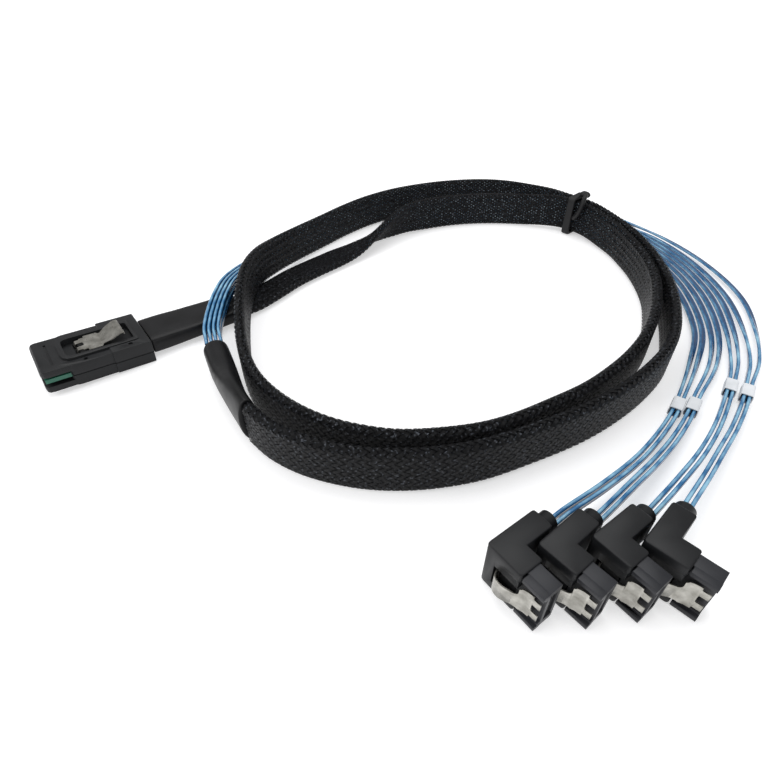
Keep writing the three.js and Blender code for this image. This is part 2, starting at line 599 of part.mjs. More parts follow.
// Twelve-sided flat section with round edges
function ellipseFlat(thickness, width) {
  const [x, y] = [thickness / 2, width / 2];
  const edge = y - x * 1.1;
  return roundedShape([
    [x, edge], [x * 0.75, y - x * 0.35], [x * 0.3, y], [-x * 0.3, y],
    [-x * 0.75, y - x * 0.35], [-x, edge], [-x, -edge], [-x * 0.75, -y + x * 0.35],
    [-x * 0.3, -y], [x * 0.3, -y], [x * 0.75, -y + x * 0.35], [x, -edge],
  ]);
}

function hostHeatShrink() {
  const route = [GAP, 6, 14, 24, SHRINK_LENGTH + GAP].map((distance, i) =>
    behindHost(distance, [4.1, 4, 3.8, 3.6, 3.5][i]));
  return sweep(route, flatSection(SHRINK_WIDTH, SHRINK_THICK, 2.2), 8,
    { spreadX: [[0, 1], [0.3, 1], [0.42, 0.95], [1, 0.9]],
      spreadY: [[0, 1], [0.3, 1], [0.42, 0.92], [1, 0.86]] });
}

function breakoutHeatShrink() {
  const [mouthX, mouthY] = BREAKOUT_MOUTH.map((size) => size / BREAKOUT_ROUND);
  return sweep(BREAKOUT_ROUTE, ellipseSection(BREAKOUT_ROUND, BREAKOUT_ROUND, 12), 10, {
    spreadX: [[0, mouthX * 1.06], [0.12, mouthX], [0.7, 1], [1, 1]],
    spreadY: [[0, mouthY], [0.15, mouthY * 0.97], [0.75, 1], [1, 1]],
  });
}

// Tie: a flat loop round both strands, with its twisted ends lying over the inner one
function coilTie() {
  const reach = SLEEVE_THICK + GAP + 0.6;
  const rise = SLEEVE_WIDTH / 2 + GAP;
  const outer = flatSection(2 * (reach + TIE_THICK), 2 * (rise + TIE_THICK), 2);
  outer.holes.push(roundedShape([
    [-reach, -rise, 1.2], [-reach, rise, 1.2], [reach, rise, 1.2], [reach, -rise, 1.2],
  ], THREE.Path));
  const loop = along(outer, -TIE_WIDTH / 2, TIE_WIDTH / 2);
  const twist = new THREE.CatmullRomCurve3([
    [0.5, reach, rise + 0.6], [2.2, 1.6, rise + 2.2], [4.6, -0.6, rise + 2.4],
    [6, -reach + 0.2, rise + 1.9], [6.4, -reach - 1.5, rise - 1.2], [5.4, -reach - 1.8, rise - 5],
    [3.4, -reach - 1.5, rise - 8],
  ].map((point) => new THREE.Vector3(...point)));
  const tail = toSolid(new THREE.ExtrudeGeometry(ellipseSection(2.2, 1.6, 8), {
    steps: 16, extrudePath: twist, bevelEnabled: false,
  }));
  const knot = new THREE.SphereGeometry(1.7, 10, 8);
  knot.scale(1.5, 1.1, 0.75).translate(3.4, 0.6, rise + 2.2);
  return join(loop, tail, toSolid(knot));
}

function tiePiece() {
  const tie = mesh('coil_tie', coilTie(), tieFinish());
  tie.rotation.z = THREE.MathUtils.degToRad(TIE_PLACE.turn);
  tie.position.set(TIE_PLACE.x, TIE_PLACE.y, TIE_PLACE.z);
  return tie;
}

// Wires

// A point set off sideways from a route, outward in plan, and up
function offsetPoint(points, i, sideways, up) {
  const [ax, ay] = points[Math.max(i - 1, 0)];
  const [bx, by] = points[Math.min(i + 1, points.length - 1)];
  const length = Math.hypot(bx - ax, by - ay);
  const [x, y, z] = points[i];
  return [x - (by - ay) / length * sideways, y + (bx - ax) / length * sideways, z + up];
}

// Wire number 0 to 7 from the inside of the fan to its outside; each two go to one plug
function wireRoute(number) {
  const plug = Math.floor(number / 2);
  const outer = number % 2;
  const sideways = (plug - 1.5) * WIRE_PITCH;
  const up = (outer - 0.5) * LAYER_PITCH;
  const bundle = BUNDLE_ROUTE.map((point, i) => offsetPoint(BUNDLE_ROUTE, i, sideways, up));
  const fan = FAN_STATIONS.map(({ at, out, pitch, outer: extra, lift }) => {
    const reach = (number - 3.5) * pitch + (number === 7 ? extra : 0);
    return [at[0] + out[0] * reach, at[1] + out[1] * reach, at[2] + lift * up];
  });
  const { inner, outer: outside, label, tail } = PAIR_ROUTES[plug];
  const pair = [...label, ...tail, nubFace(DRIVE_PLACES[plug])];
  const side = (outer - 0.5) * WIRE_PITCH;
  const paired = pair.map((point, i) => offsetPoint(pair, i, side, 0));
  return [...bundle, ...fan, ...(outer ? outside : inner), ...paired];
}

const WIRE_NAMES = DRIVE_PLACES.flatMap((place, i) => [`wire_${i + 1}a`, `wire_${i + 1}b`]);

function wirePieces() {
  const section = flatSection(WIRE_THICK, WIRE_WIDTH, 0.3);
  return WIRE_NAMES.map((name, i) => {
    const geometry = sweep(wireRoute(i), section, WIRE_STEPS,
      { turn: WIRE_TURN, curveSegments: 1 });
    return mesh(name, geometry, wireFinish());
  });
}

// Bare sleeve of tape round the two wires of a plug
function labelPiece(plug) {
  const [start, end] = PAIR_ROUTES[plug].label.map((point) => new THREE.Vector3(...point));
  const middle = start.clone().add(end).multiplyScalar(0.5);
  const reach = end.clone().sub(start).normalize().multiplyScalar(LABEL_LENGTH / 2);
  const points = [middle.clone().sub(reach), middle, middle.clone().add(reach)];
  const hole = [WIRE_THICK + WIRE_PITCH + 2 * GAP, WIRE_WIDTH + 2 * GAP];
  const section = flatSection(hole[0] + 2 * LABEL_WALL, hole[1] + 2 * LABEL_WALL, 0.8);
  const [x, y] = hole.map((size) => size / 2);
  section.holes.push(roundedShape([
    [-x, -y, 0.2], [-x, y, 0.2], [x, y, 0.2], [x, -y, 0.2],
  ], THREE.Path));
  const geometry = sweep(points.map((point) => point.toArray()), section, 2);
  return mesh(`label_${plug + 1}`, geometry, labelFinish());
}

// The whole cable

const cable = new THREE.Group();
cable.add(hostPlug());
cable.add(mesh('host_plug_heat_shrink', hostHeatShrink(), shrinkFinish()));
cable.add(mesh('braided_sleeve', braidedSleeve(), braidFinish()));
cable.add(mesh('breakout_heat_shrink', breakoutHeatShrink(), shrinkFinish()));
cable.add(tiePiece());
wirePieces().forEach((wire) => cable.add(wire));
DRIVE_PLACES.forEach((place, i) => {
  cable.add(labelPiece(i));
  cable.add(drivePlug(i + 1, place));
});
cable.position.set(-LAYOUT_CENTRE[0], -LAYOUT_CENTRE[1], 0);

export default cable;
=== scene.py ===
import json
import math

import bmesh
import bpy
import numpy as np
from mathutils import Matrix, Vector

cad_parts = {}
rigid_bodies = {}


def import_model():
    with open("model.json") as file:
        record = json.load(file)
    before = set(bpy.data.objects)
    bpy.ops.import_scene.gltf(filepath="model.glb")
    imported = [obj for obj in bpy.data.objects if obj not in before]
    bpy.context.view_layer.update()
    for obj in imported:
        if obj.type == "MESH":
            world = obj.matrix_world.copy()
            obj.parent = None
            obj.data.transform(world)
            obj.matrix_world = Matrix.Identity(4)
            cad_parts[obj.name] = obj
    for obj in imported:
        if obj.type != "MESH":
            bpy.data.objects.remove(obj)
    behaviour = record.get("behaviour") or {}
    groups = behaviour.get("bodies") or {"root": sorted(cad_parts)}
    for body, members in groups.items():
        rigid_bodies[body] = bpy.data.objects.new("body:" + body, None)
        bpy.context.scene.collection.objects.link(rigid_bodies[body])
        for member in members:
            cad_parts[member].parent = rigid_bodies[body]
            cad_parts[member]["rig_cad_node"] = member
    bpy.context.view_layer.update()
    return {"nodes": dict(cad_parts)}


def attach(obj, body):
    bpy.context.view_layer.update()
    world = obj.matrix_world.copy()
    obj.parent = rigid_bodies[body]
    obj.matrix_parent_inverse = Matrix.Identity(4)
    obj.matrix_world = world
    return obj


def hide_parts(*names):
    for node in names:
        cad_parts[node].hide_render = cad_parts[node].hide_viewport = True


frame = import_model()
bpy.ops.object.select_all(action="DESELECT")

# The camera stands close over the near side of the coil and looks down on it
PHOTO_SIZE = 780
FOCAL_PIXELS = 530.0
CAMERA_PLACE = (0.00168, -0.162155, 0.119862)
CAMERA_PITCH = 41.0

camera = bpy.data.objects.new("photo_camera", bpy.data.cameras.new("photo_camera"))
bpy.context.collection.objects.link(camera)
camera.data.sensor_width = 36
camera.data.lens = FOCAL_PIXELS / PHOTO_SIZE * camera.data.sensor_width
camera.data.clip_start = 0.005
camera.data.clip_end = 10
camera.location = CAMERA_PLACE
camera.rotation_euler = (math.radians(90 - CAMERA_PITCH), 0, 0)
bpy.context.scene.camera = camera


# Routes of the cords, in metres, as in the part's source. Three points of the braid's twist, from
# (-.02532, .06573) on, lie 0.1 to 0.6 mm higher here, so that the woven skin clears the floor.

LYING = 0.0031
SLEEVE_ROUTE = [
    (-.05582, .02923, .0026), (-.04882, .03823, .0026), (-.04182, .04823, .0026),
    (-.03432, .05673, .0026), (-.02532, .06573, .0027), (-.01582, .07523, .0032),
    (-.00632, .08523, .0056), (.00268, .09403, .0072), (.01168, .10073, .0083),
    (.02168, .10603, .00815), (.03268, .10993, .00815), (.04468, .11233, .00815),
    (.05768, .11303, .00815), (.07068, .11173, .0083), (.08068, .10913, .009),
    (.08768, .10663, .0094), (.09188, .10433, .0095), (.09468, .10183, .0095),
    (.09738, .09903, .0095), (.10128, .09353, .0093), (.10588, .08323, .0086),
    (.10868, .07473, .0083), (.10998, .06673, .00815), (.11088, .05373, .00815),
    (.11028, .04073, .00815), (.10818, .02773, .00815), (.10508, .01793, .00815),
    (.10128, .00823, .00815), (.09598, -.00227, .00815), (.08968, -.01227, .00815),
    (.08168, -.02207, .00815), (.07298, -.03057, .00815), (.06198, -.03947, .00815),
    (.04888, -.04727, .00815), (.03708, -.05347, .00815), (.02728, -.05707, .00815),
    (.01468, -.05927, .00815), (.00338, -.05977, .00815), (-.00672, -.05797, .00815),
    (-.01532, -.05507, .00815), (-.02432, -.05007, .00815), (-.03282, -.04307, .00815),
    (-.04012, -.03447, .00815), (-.04532, -.02477, .00815), (-.04952, -.01277, .0088),
    (-.05252, .00073, .0108), (-.05452, .01473, .0129), (-.05512, .02773, .0134),
    (-.05362, .04173, .0124), (-.04882, .05623, .0104), (-.04082, .07123, .0089),
    (-.03132, .08523, .00815), (-.02112, .09823, .00815), (-.00982, .11003, .00815),
    (.00368, .12003, .00815), (.01818, .12703, .00815), (.03318, .13173, .00815),
    (.05068, .13393, .00815), (.06468, .13203, .00815), (.07818, .12553, .0083),
    (.08768, .11733, .009), (.09228, .11103, .0094), (.09508, .10763, .0095),
    (.09778, .10473, .0095), (.10048, .10173, .0095), (.10468, .09533, .0093),
    (.10958, .08473, .0086), (.11258, .07553, .0083), (.11428, .06723, .00815),
    (.11518, .05373, .00815), (.11478, .04073, .00815), (.11318, .02773, .00815),
    (.11048, .01573, .00815), (.10688, .00443, .00815), (.10198, -.00737, .00815),
    (.09518, -.01867, .00815), (.08538, -.02937, .00815), (.07418, -.03897, .00815),
    (.06008, -.04847, .00815), (.04318, -.05687, .00815), (.02768, -.06327, .00815),
    (.01388, -.06627, .00815), (.00338, -.06697, .00815), (-.00632, -.06627, .00815),
    (-.01642, -.06387, .00815), (-.02492, -.06047, .00815), (-.03312, -.05527, .00815),
    (-.03982, -.04877, .00815),
]
SLEEVE_TURN = [(0, 90), (0.055, 90), (0.11, 0), (1, 0)]
SLEEVE_SPREAD = [(0, 0.86), (0.03, 0.78), (0.07, 0.78), (0.12, 1), (1, 1)]
SLEEVE_WIDTH = 0.016
SLEEVE_THICK = 0.0038

BUNDLE_ROUTE = [
    (-.06007, -.01107, .00825), (-.06312, -.00227, .009), (-.06432, .00873, .0101),
    (-.06462, .01973, .0106), (-.06412, .02973, .0104), (-.06252, .03973, .009),
    (-.05932, .05273, .0064), (-.05382, .06673, .0042), (-.04532, .08173, .0034),
    (-.03432, .09773, .0033), (-.01932, .11473, .0033), (-.00232, .12723, .0033),
    (.01568, .13573, .0033), (.03468, .14073, .0033), (.05368, .14223, .0033),
    (.07168, .13923, .0033), (.08768, .13073, .0033), (.10068, .12023, .0033),
]
FAN_STATIONS = [
    ((.10818, .11373, .0034), (0.65, 0.76), 0.00175, 0, 1),
    ((.11568, .10573, .0028), (0.71, 0.7), 0.0024, 0.0003, 0.4),
    ((.12868, .08673, .0021), (0.86, 0.5), 0.003, 0.001, 0),
    ((.13618, .06273, .0018), (0.99, 0.14), 0.0031, 0.002, 0),
    ((.13698, .03573, .0018), (0.99, -0.12), 0.0032, 0.0028, 0),
]
PAIR_ROUTES = [
    {"inner": [(.12028, .00873, .0016), (.10958, -.01167, .002)],
     "outer": [(.12328, .00873, .0016), (.11188, -.01247, .002)],
     "pair": [(.09828, -.03097, .0023), (.09208, -.03967, .0025), (.08268, -.05047, .0032),
              (.07228, -.06087, .0048), (.05868, -.07187, .0064), (.04548, -.08127, .0074)]},
    {"inner": [(.12648, .00873, .0016), (.11678, -.01167, .002)],
     "outer": [(.12948, .00873, .0016), (.11908, -.01247, .002)],
     "pair": [(.10348, -.03097, .0023), (.09698, -.04017, .0025), (.08768, -.05107, .0032),
              (.07808, -.06087, .0048), (.06718, -.07087, .0064), (.05658, -.08047, .0074)]},
    {"inner": [(.13268, .00873, .0016), (.12528, -.00977, .002)],
     "outer": [(.13568, .00873, .0016), (.12778, -.01037, .002)],
     "pair": [(.12028, -.02107, .0023), (.11388, -.03087, .0025), (.10368, -.04487, .0034),
              (.09268, -.05757, .0048), (.08118, -.06887, .0064), (.06978, -.07927, .0074)]},
    {"inner": [(.13928, .00773, .0016), (.13148, -.01127, .002)],
     "outer": [(.14408, .00823, .0016), (.13458, -.01167, .002)],
     "pair": [(.12458, -.02397, .0023), (.11808, -.03367, .0025), (.10868, -.04567, .0034),
              (.09828, -.05727, .0048), (.08888, -.06767, .0064), (.07958, -.07747, .0074)]},
]
WIRE_TURN = [(0, 0), (0.52, 0), (0.64, 80), (0.74, 80), (0.845, 0), (1, 0)]
WIRE_WIDTH = 0.0024
WIRE_THICK = 0.00115
WIRE_PITCH = 0.00165
LAYER_PITCH = 0.0028

# Outer corner of each drive plug on the floor, and the way it points
DRIVE_PLACES = [
    (.02358, -.09417, -53.4), (.03508, -.09427, -50.8),
    (.04788, -.09227, -53.6), (.05938, -.09347, -45.7),
]
NUB_FACE = (0.003, 0.01915, 0.0075)
HOST_NOSE = (-.11942, -.02047)
HOST_TURN = 37.3
HOST_NOSE_UP = 3
HOST_REACH = 0.0359
HOST_BACK_HEIGHT = 0.0087
HOST_SHRINK = 0.034
GAP = 0.0003


# Lines along the routes

FINE_STEPS = 40


def even_stations(points, count):
    """Positions and directions at even distances along the smooth curve through the points."""
    p = np.array(points, float)
    p = np.vstack([2 * p[0] - p[1], p, 2 * p[-1] - p[-2]])
    span = np.maximum(np.linalg.norm(np.diff(p, axis=0), axis=1) ** 0.5, 1e-6)
    fine = []
    for i in range(1, len(p) - 2):
        d0, d1, d2 = span[i - 1], span[i], span[i + 1]
        t1 = ((p[i] - p[i - 1]) / d0 - (p[i + 1] - p[i - 1]) / (d0 + d1)
              + (p[i + 1] - p[i]) / d1) * d1
        t2 = ((p[i + 1] - p[i]) / d1 - (p[i + 2] - p[i]) / (d1 + d2)
              + (p[i + 2] - p[i + 1]) / d2) * d1
        t = np.linspace(0, 1, FINE_STEPS, endpoint=False)[:, None]
        fine.append((2 * t**3 - 3 * t**2 + 1) * p[i] + (t**3 - 2 * t**2 + t) * t1
                    + (3 * t**2 - 2 * t**3) * p[i + 1] + (t**3 - t**2) * t2)
    line = np.vstack([*fine, p[-2:-1]])
    along = np.concatenate([[0], np.cumsum(np.linalg.norm(np.diff(line, axis=0), axis=1))])
    at = np.linspace(0, along[-1], count)
    places = np.stack([np.interp(at, along, line[:, k]) for k in range(3)], 1)
    ways = np.gradient(places, axis=0)
    ways /= np.linalg.norm(ways, axis=1)[:, None]
    return places, ways, at


def read_table(table, u):
    """Values at fractions u of a route, eased between the table's entries."""
    u = np.asarray(u, float)
    out = np.full(u.shape, float(table[0][1]))
    for (u0, v0), (u1, v1) in zip(table, table[1:]):
        t = np.clip((u - u0) / (u1 - u0), 0, 1)
        out = np.where(u >= u0, v0 + (v1 - v0) * t * t * (3 - 2 * t), out)
    return out


def cross_frames(ways, turn):
    """Sideways and upward directions across a route, turned about it by degrees."""
    side = np.cross([0, 0, 1], ways)
    side /= np.linalg.norm(side, axis=1)[:, None]
    rise = np.cross(ways, side)
    c, s = np.cos(np.radians(turn))[:, None], np.sin(np.radians(turn))[:, None]
    return side * c + rise * s, rise * c - side * s


def flat_outline(thick, width, sides):
    """A flat section with round edges: positions at even distances round it."""
    r = thick / 2
    straight = width - thick
    around = 2 * straight + math.pi * thick
    at = (np.arange(sides) + 0.5) / sides * around
    return np.array([flat_point(d, r, straight, around)[0] for d in at]), around


def flat_point(distance, r, straight, around):
    """Place and outward direction at a distance round a flat section with round edges."""
    d = distance % around
    half = straight / 2
    if d < straight:
        return (r, d - half), (1, 0)
    d -= straight
    if d < math.pi * r:
        a = d / r
        return (r * math.cos(a), half + r * math.sin(a)), (math.cos(a), math.sin(a))
    d -= math.pi * r
    if d < straight:
        return (-r, half - d), (-1, 0)
    a = math.pi + (d - straight) / r
    return (r * math.cos(a), -half + r * math.sin(a)), (math.cos(a), math.sin(a))


# Making meshes

def make_object(name, vertices, faces, uvs=None):
    """A mesh at the origin, with an optional UV for each corner of each face."""
    mesh = bpy.data.meshes.new(name)
    mesh.from_pydata([tuple(map(float, v)) for v in vertices], [], faces)
    if uvs is not None:
        layer = mesh.uv_layers.new(name="UVMap")
        layer.data.foreach_set("uv", np.asarray(uvs, np.float32).reshape(-1))
    mesh.validate()
    mesh.update()
    thing = bpy.data.objects.new(name, mesh)
    bpy.context.collection.objects.link(thing)
    return thing


def swept_tube(name, places, side, rise, outline, scale=None, lengths=None):
    """A closed tube with one ring of the outline at each station; u runs round it, v along it."""
    count, sides = len(places), len(outline)
    scale = np.ones((count, 2)) if scale is None else scale
    x = outline[None, :, 0] * scale[:, :1]
    y = outline[None, :, 1] * scale[:, 1:]
    rings = places[:, None] + side[:, None] * x[..., None] + rise[:, None] * y[..., None]
    faces, uvs = [], []
    for i in range(count - 1):
        for j in range(sides):
            k = (j + 1) % sides
            faces.append((i * sides + j, i * sides + k, (i + 1) * sides + k, (i + 1) * sides + j))
            u0, u1 = j / sides, (j + 1) / sides
            v0, v1 = lengths[i], lengths[i + 1]
            uvs += [(u0, v0), (u1, v0), (u1, v1), (u0, v1)]
    faces.append(tuple(range(sides))[::-1])
    faces.append(tuple(range((count - 1) * sides, count * sides)))
    uvs += [(0.5, lengths[0])] * sides + [(0.5, lengths[-1])] * sides
    tube = make_object(name, rings.reshape(-1, 3), faces, uvs)
    for face in tube.data.polygons:
        face.use_smooth = len(face.vertices) == 4
    return tube


# Materials

def new_material(name, **values):
    """A material with its shader, plain values on the shader's own sockets."""
    material = bpy.data.materials.new(name)
    material.use_nodes = True
    shader = material.node_tree.nodes["Principled BSDF"]
    for socket, value in values.items():
        shader.inputs[socket.replace("_", " ")].default_value = value
    return material, material.node_tree, shader


def node(tree, kind, inputs=None, **settings):
    made = tree.nodes.new(kind)
    for key, value in settings.items():
        setattr(made, key, value)
    for key, value in (inputs or {}).items():
        if isinstance(value, bpy.types.NodeSocket):
            tree.links.new(value, made.inputs[key])
        else:
            made.inputs[key].default_value = value
    return made


def ramp(tree, factor, stops):
    made = node(tree, "ShaderNodeValToRGB", {"Fac": factor})
    for i, (at, colour) in enumerate(stops):
        stop = made.color_ramp.elements[i] if i < 2 else made.color_ramp.elements.new(at)
        stop.position = at
        stop.color = (*colour, 1)
    return made.outputs["Color"]


def shade(r, g, b):
    """A colour as it is seen on a screen, from 0 to 255, as Blender's linear light."""
    return tuple(((c / 255 + 0.055) / 1.055) ** 2.4 if c > 10 else c / 3294.6 for c in (r, g, b))


def bump(tree, shader, height, strength, distance):
    made = node(tree, "ShaderNodeBump",
                {"Height": height, "Strength": strength, "Distance": distance})
    tree.links.new(made.outputs["Normal"], shader.inputs["Normal"])


def grained_plastic(name, dark, light, rough, grain=2600, depth=0.00002, gleam=0.2):
    """Moulded plastic: a fine spark-eroded grain and a faint cloudiness of tone and gloss."""
    material, tree, shader = new_material(name, Metallic=0, Specular_IOR_Level=gleam)
    coords = node(tree, "ShaderNodeTexCoord").outputs["Object"]
    cloud = node(tree, "ShaderNodeTexNoise", {"Vector": coords, "Scale": 140, "Detail": 4})
    tree.links.new(ramp(tree, cloud.outputs["Fac"], [(0.3, dark), (0.7, light)]),
                   shader.inputs["Base Color"])
    gloss = node(tree, "ShaderNodeMapRange", {"Value": cloud.outputs["Fac"], "From Min": 0.3,
                                              "From Max": 0.7, "To Min": rough - 0.06,
                                              "To Max": rough + 0.06})
    tree.links.new(gloss.outputs["Result"], shader.inputs["Roughness"])
    pits = node(tree, "ShaderNodeTexNoise", {"Vector": coords, "Scale": grain, "Detail": 2})
    bump(tree, shader, pits.outputs["Fac"], 0.35, depth)
    return material


def latch_steel():
    """Stamped spring steel: rolling lines along the sheet and slightly blotched reflections."""
    material, tree, shader = new_material("latch_steel", Metallic=1)
    coords = node(tree, "ShaderNodeTexCoord").outputs["Object"]
    stretched = node(tree, "ShaderNodeMapping", {"Vector": coords, "Scale": (500, 500, 9000)})
    lines = node(tree, "ShaderNodeTexNoise", {"Vector": stretched.outputs["Vector"], "Scale": 1,
                                              "Detail": 3})
    blotch = node(tree, "ShaderNodeTexNoise", {"Vector": coords, "Scale": 420, "Detail": 3})
    tree.links.new(ramp(tree, blotch.outputs["Fac"],
                        [(0.3, shade(142, 140, 133)), (0.7, shade(190, 188, 181))]),
                   shader.inputs["Base Color"])
    gloss = node(tree, "ShaderNodeMapRange", {"Value": lines.outputs["Fac"], "To Min": 0.2,
                                              "To Max": 0.42})
    tree.links.new(gloss.outputs["Result"], shader.inputs["Roughness"])
    bump(tree, shader, lines.outputs["Fac"], 0.15, 0.00001)
    return material


def braid_filament():
    """Flat bundles of dark filaments: fine ridges along each ribbon, and scattered glints that
    are painted highlights, bright specks in the colour.
    """
    material, tree, shader = new_material("braid_filament", Roughness=0.4,
                                          Specular_IOR_Level=0.16)
    uv = node(tree, "ShaderNodeTexCoord").outputs["UV"]
    across = node(tree, "ShaderNodeSeparateXYZ", {"Vector": uv}).outputs["X"]
    ridge = node(tree, "ShaderNodeMath", {0: across, 1: 4 * math.tau}, operation="MULTIPLY")
    wave = node(tree, "ShaderNodeMath", {0: ridge.outputs[0]}, operation="COSINE")
    height = node(tree, "ShaderNodeMapRange", {"Value": wave.outputs[0], "From Min": -1})
    coords = node(tree, "ShaderNodeTexCoord").outputs["Object"]
    # Painted highlight: a noise lays bright specks into the base colour as the braid's glints
    painted_sparkle = node(tree, "ShaderNodeTexNoise", {"Vector": coords, "Scale": 1300, "Detail": 2})
    tree.links.new(ramp(tree, painted_sparkle.outputs["Fac"],
                        [(0.45, shade(6, 6, 8)), (0.6, shade(17, 18, 21)),
                         (0.7, shade(84, 88, 95))]),
                   shader.inputs["Base Color"])
    bump(tree, shader, height.outputs["Result"], 0.8, 0.00012)
    return material


# Where the painted glints off the foil begin and reach their full share, along y towards the back
GLINTS_FROM = 0.01
GLINTS_TO = 0.09


def inner_wires():
    """What shows between the ribbons: a near-black blue that is painted shade inside the braid,
    with painted glints off the foil, more of them towards the back.
    """
    material, tree, shader = new_material("inner_wires", Roughness=0.25)
    coords = node(tree, "ShaderNodeTexCoord").outputs["Object"]
    # Painted highlight: bright specks of foil glint in the base colour; the dark base is painted
    # shade
    painted_glints = node(tree, "ShaderNodeTexNoise", {"Vector": coords, "Scale": 900, "Detail": 2})
    depth = node(tree, "ShaderNodeSeparateXYZ", {"Vector": coords}).outputs["Y"]
    glint_share = node(tree, "ShaderNodeMapRange", {"Value": depth, "From Min": GLINTS_FROM,
                                              "From Max": GLINTS_TO, "To Min": 0,
                                              "To Max": 0.17})
    glinted = node(tree, "ShaderNodeMath", {0: painted_glints.outputs["Fac"], 1: glint_share.outputs["Result"]},
                  operation="ADD")
    tree.links.new(ramp(tree, glinted.outputs[0],
                        [(0.58, shade(8, 12, 17)), (0.68, shade(66, 106, 134)),
                         (0.76, shade(196, 216, 228))]),
                   shader.inputs["Base Color"])
    return material


def wire_jacket():
    """Clear blue jacket over the foil: painted shade darkens the middle, and a painted highlight
    makes its edges pale.
    """
    material, tree, shader = new_material("wire_jacket", Roughness=0.22, Coat_Weight=0.3,
                                          Coat_Roughness=0.1)
    uv = node(tree, "ShaderNodeTexCoord").outputs["UV"]
    parts = node(tree, "ShaderNodeSeparateXYZ", {"Vector": uv})
    # Painted highlight and shade: a wave across the ribbon lightens its edges and darkens its
    # middle, mixed with the foil's own streaks
    wave = node(tree, "ShaderNodeMath", {0: parts.outputs["X"], 1: 2 * math.tau},
                operation="MULTIPLY")
    edge = node(tree, "ShaderNodeMath", {0: wave.outputs[0]}, operation="COSINE")
    stretched = node(tree, "ShaderNodeMapping", {"Vector": uv, "Scale": (3, 160, 1)})
    foil = node(tree, "ShaderNodeTexNoise", {"Vector": stretched.outputs["Vector"], "Scale": 1,
                                             "Detail": 3})
    mixed = node(tree, "ShaderNodeMath", {0: edge.outputs[0], 1: -0.3, 2: foil.outputs["Fac"]},
                 operation="MULTIPLY_ADD")
    tree.links.new(ramp(tree, mixed.outputs[0],
                        [(0.24, shade(14, 62, 106)), (0.6, shade(42, 108, 158)),
                         (0.95, shade(150, 198, 222))]),
                   shader.inputs["Base Color"])
    return material


housing_plastic = grained_plastic("housing_plastic", shade(21, 22, 24), shade(29, 30, 32), 0.44,
                                  gleam=0.26)
block_plastic = grained_plastic("block_plastic", shade(36, 37, 41), shade(47, 48, 52), 0.42,
                                gleam=0.26)
wafer_plastic = grained_plastic("wafer_plastic", shade(12, 12, 13), shade(18, 18, 19), 0.5)
shrink_tube = grained_plastic("shrink_tube", shade(16, 16, 17), shade(25, 25, 27), 0.4, 900,
                              0.00004)
tie_rubber = grained_plastic("tie_rubber", shade(16, 16, 17), shade(28, 28, 30), 0.55, 1500,
                             0.00005, 0.3)
label_film = grained_plastic("label_film", shade(206, 210, 214), shade(228, 231, 235), 0.4, 600,
                             0.00005)
card_resin = grained_plastic("card_resin", shade(26, 92, 74), shade(44, 118, 92), 0.35,
                             gleam=0.5)
card_edge = grained_plastic("card_edge", shade(120, 140, 62), shade(156, 172, 88), 0.5, gleam=0.4)
steel = latch_steel()
filament = braid_filament()
core_blue = inner_wires()
jacket = wire_jacket()


def gold_plating():
    """Gold plate on the card's pads, faintly uneven in gloss."""
    material, tree, shader = new_material("gold_plating", Metallic=1)
    shader.inputs["Base Color"].default_value = (*shade(226, 184, 104), 1)
    coords = node(tree, "ShaderNodeTexCoord").outputs["Object"]
    wear = node(tree, "ShaderNodeTexNoise", {"Vector": coords, "Scale": 2000, "Detail": 2})
    gloss = node(tree, "ShaderNodeMapRange", {"Value": wear.outputs["Fac"], "To Min": 0.18,
                                              "To Max": 0.4})
    tree.links.new(gloss.outputs["Result"], shader.inputs["Roughness"])
    return material


gold = gold_plating()


def dress(thing, material, body="cable"):
    """Gives the piece its one material, and a body if it isn't a CAD node."""
    thing.data.materials.clear()
    thing.data.materials.append(material)
    if "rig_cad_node" not in thing:
        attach(thing, body)
    return thing


# The braided sleeve

def behind_host(distance, height):
    """A place on the host plug's line, a distance behind its shell."""
    turn = math.radians(HOST_TURN)
    tilt = math.radians(HOST_NOSE_UP)
    reach = HOST_REACH * math.cos(tilt) + HOST_BACK_HEIGHT * math.sin(tilt) + distance
    return (HOST_NOSE[0] + reach * math.cos(turn), HOST_NOSE[1] + reach * math.sin(turn), height)


def sleeve_line(count):
    """Even stations along the braid, with its turned axes and its share of the full width."""
    start = [behind_host(HOST_SHRINK + 2 * GAP + d, LYING) for d in (0, 0.003)]
    places, ways, at = even_stations([*start, *SLEEVE_ROUTE], count)
    u = at / at[-1]
    side, rise = cross_frames(ways, read_table(SLEEVE_TURN, u))
    return places, ways, at, side, rise, read_table(SLEEVE_SPREAD, u)


CORE_STATIONS = 700
CORE_SIDES = 40
CORE_THICK = SLEEVE_THICK - 0.0009
CORE_WIDTH = SLEEVE_WIDTH - 0.0011


def sleeve_core():
    """The wires inside the braid, as one flat tube with a rounded edge."""
    places, ways, at, side, rise, spread = sleeve_line(CORE_STATIONS)
    outline, around = flat_outline(CORE_THICK, CORE_WIDTH, CORE_SIDES)
    scale = np.stack([np.ones_like(spread), spread], 1)
    core = swept_tube("sleeve_core", places, side, rise, outline, scale, at)
    return core, places, at


CARRIERS = 24
RIBBON = 0.00112
CROWN = 0.00017
LAY_RATIO = 1.7
CROSSING_SAMPLES = 4
# The ribbons draw narrower, and the braid opens, towards the back of the coil
OPEN_SHARE = 0.24
OPEN_FROM = 0.0
OPEN_TO = 0.075
# Stations for a first measure of the length, and places looked up round the section
ROUGH_STATIONS = 400
TABLE_SIZE = 2000
# Squares off the weave's wave, so that a ribbon lies level over the two it crosses
WAVE_GAIN = 1.41


